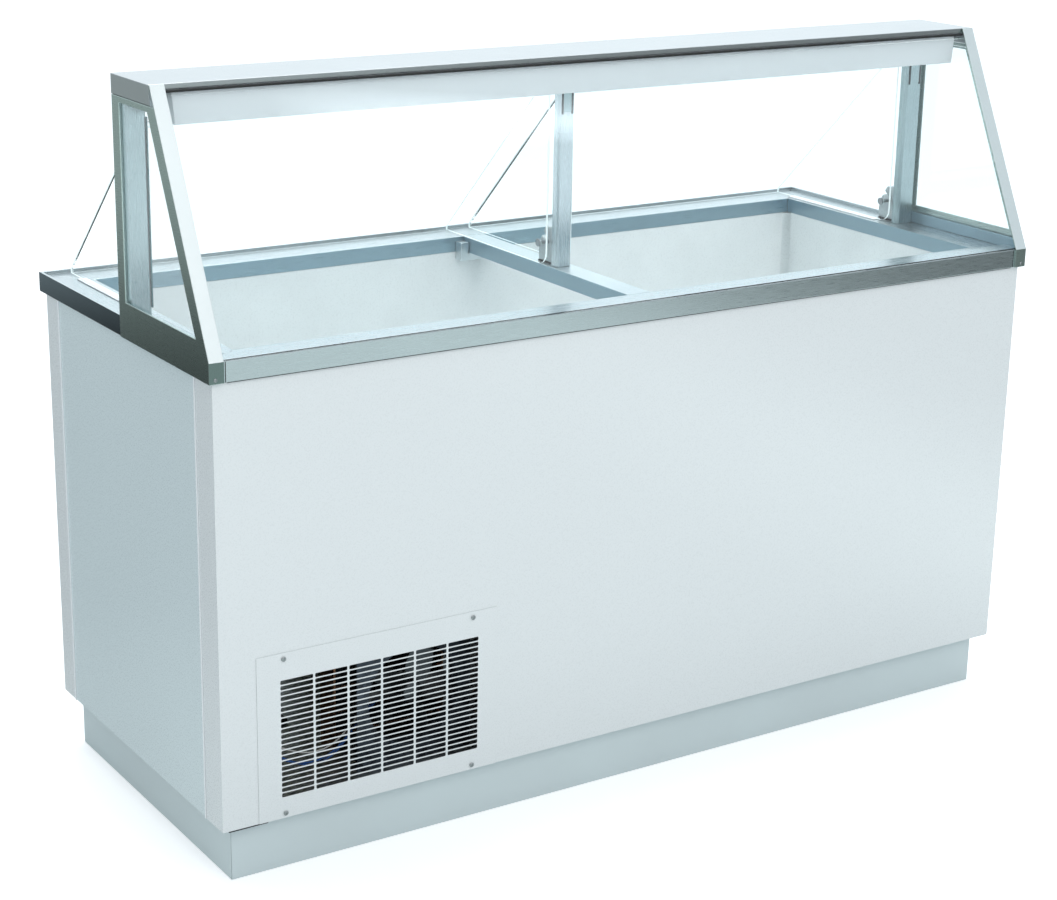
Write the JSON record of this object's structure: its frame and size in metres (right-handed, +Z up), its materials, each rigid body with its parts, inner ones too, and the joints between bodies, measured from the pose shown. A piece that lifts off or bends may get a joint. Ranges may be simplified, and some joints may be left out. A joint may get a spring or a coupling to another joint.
{
  "type": "chest freezer",
  "caption": "Long white chest freezer for scooping ice cream: open tank, stainless rim, slanted glass front, shelf on posts, flip-up clear lids and a louvred machine grille.",
  "frame": {"origin": "centre of the bounding box's bottom face, on the floor", "axes": "+X along the cabinet's length towards the customer's right, +Y from the customer's side with the slanted glass to the server's side with the lids, +Z up"},
  "size_m": [1.79, 0.738, 1.353],
  "materials": {
    "whitePaint": "gloss",
    "stainless": "satin",
    "castZinc": "satin",
    "liner": "gloss",
    "foam": "matte",
    "glass": "polished",
    "acrylic": "polished",
    "rubber": "matte",
    "whitePlastic": "satin",
    "diffuser": "satin",
    "galvanised": "satin",
    "blackSteel": "satin",
    "copper": "satin",
    "aluminium": "satin",
    "blackPlastic": "satin",
    "screwSteel": "polished"
  },
  "bodies": {
    "cabinet": {"bottom_pan": "galvanised", "compartment_wall": "galvanised", "compressor": "blackSteel", "condenser": "aluminium", "cord_gland": "blackPlastic", "divider_bar": "stainless", "divider_bracket_front": "stainless", "divider_bracket_rear": "stainless", "electrical_box": "galvanised", "end_frame_left": "stainless", "end_frame_right": "stainless", "end_glass_left": "glass", "end_glass_right": "glass", "evaporator_coil": "copper", "fan_motor": "blackSteel", "fan_shroud": "galvanised", "frame_screw_left": "screwSteel", "frame_screw_right": "screwSteel", "front_glass": "glass", "front_panel": "whitePaint", "glass_gasket": "rubber", "grille_cover": "whitePaint", "grille_screw_1": "screwSteel", "grille_screw_2": "screwSteel", "grille_screw_3": "screwSteel", "grille_screw_4": "screwSteel", "insulation_tub": "foam", "led_strip": "aluminium", "lid_hook_centre": "castZinc", "lid_hook_left": "castZinc", "lid_hook_right": "castZinc", "light_diffuser": "diffuser", "light_housing": "whitePaint", "plinth_front": "whitePaint", "plinth_left": "whitePaint", "plinth_rear": "whitePaint", "plinth_right": "whitePaint", "post_centre": "stainless", "post_left": "stainless", "post_right": "stainless", "rear_panel": "whitePaint", "rest_strip_left": "whitePlastic", "rest_strip_right": "whitePlastic", "rim_front": "stainless", "rim_left": "stainless", "rim_rear": "stainless", "rim_right": "stainless", "shelf": "stainless", "side_panel_left": "whitePaint", "side_panel_right": "whitePaint", "tank_liner": "liner"},
    "left_lid": {"lid_left": "acrylic", "lid_pin_left_outer": "screwSteel", "lid_pin_left_inner": "screwSteel"},
    "right_lid": {"lid_right": "acrylic", "lid_pin_right_outer": "screwSteel", "lid_pin_right_inner": "screwSteel"},
    "fan": {"fan_blade": "aluminium"},
    "knob": {"control_knob": "blackPlastic"},
    "switch": {"light_switch": "blackPlastic"}
  },
  "joints": [
    {"name": "left_lid_flip", "type": "hinge", "parent": "cabinet", "child": "left_lid", "pos_m": [-0.4315, 0.003, 0.974], "axis": [1, 0, 0], "range_deg": [0, 80]},
    {"name": "right_lid_flip", "type": "hinge", "parent": "cabinet", "child": "right_lid", "pos_m": [0.4315, 0.003, 0.974], "axis": [1, 0, 0], "range_deg": [0, 80]},
    {"name": "fan_spin", "type": "hinge", "parent": "cabinet", "child": "fan", "pos_m": [-0.46, -0.254, 0.236], "axis": [0, 1, 0], "continuous": true},
    {"name": "knob_turn", "type": "hinge", "parent": "cabinet", "child": "knob", "pos_m": [-0.25, 0.3585, 0.29], "axis": [0, 1, 0], "range_deg": [-135, 135]},
    {"name": "light_switch_rock", "type": "hinge", "parent": "cabinet", "child": "switch", "pos_m": [0.79, -0.063, 1.318], "axis": [0, 0, 1], "range_deg": [0, 16]}
  ]
}
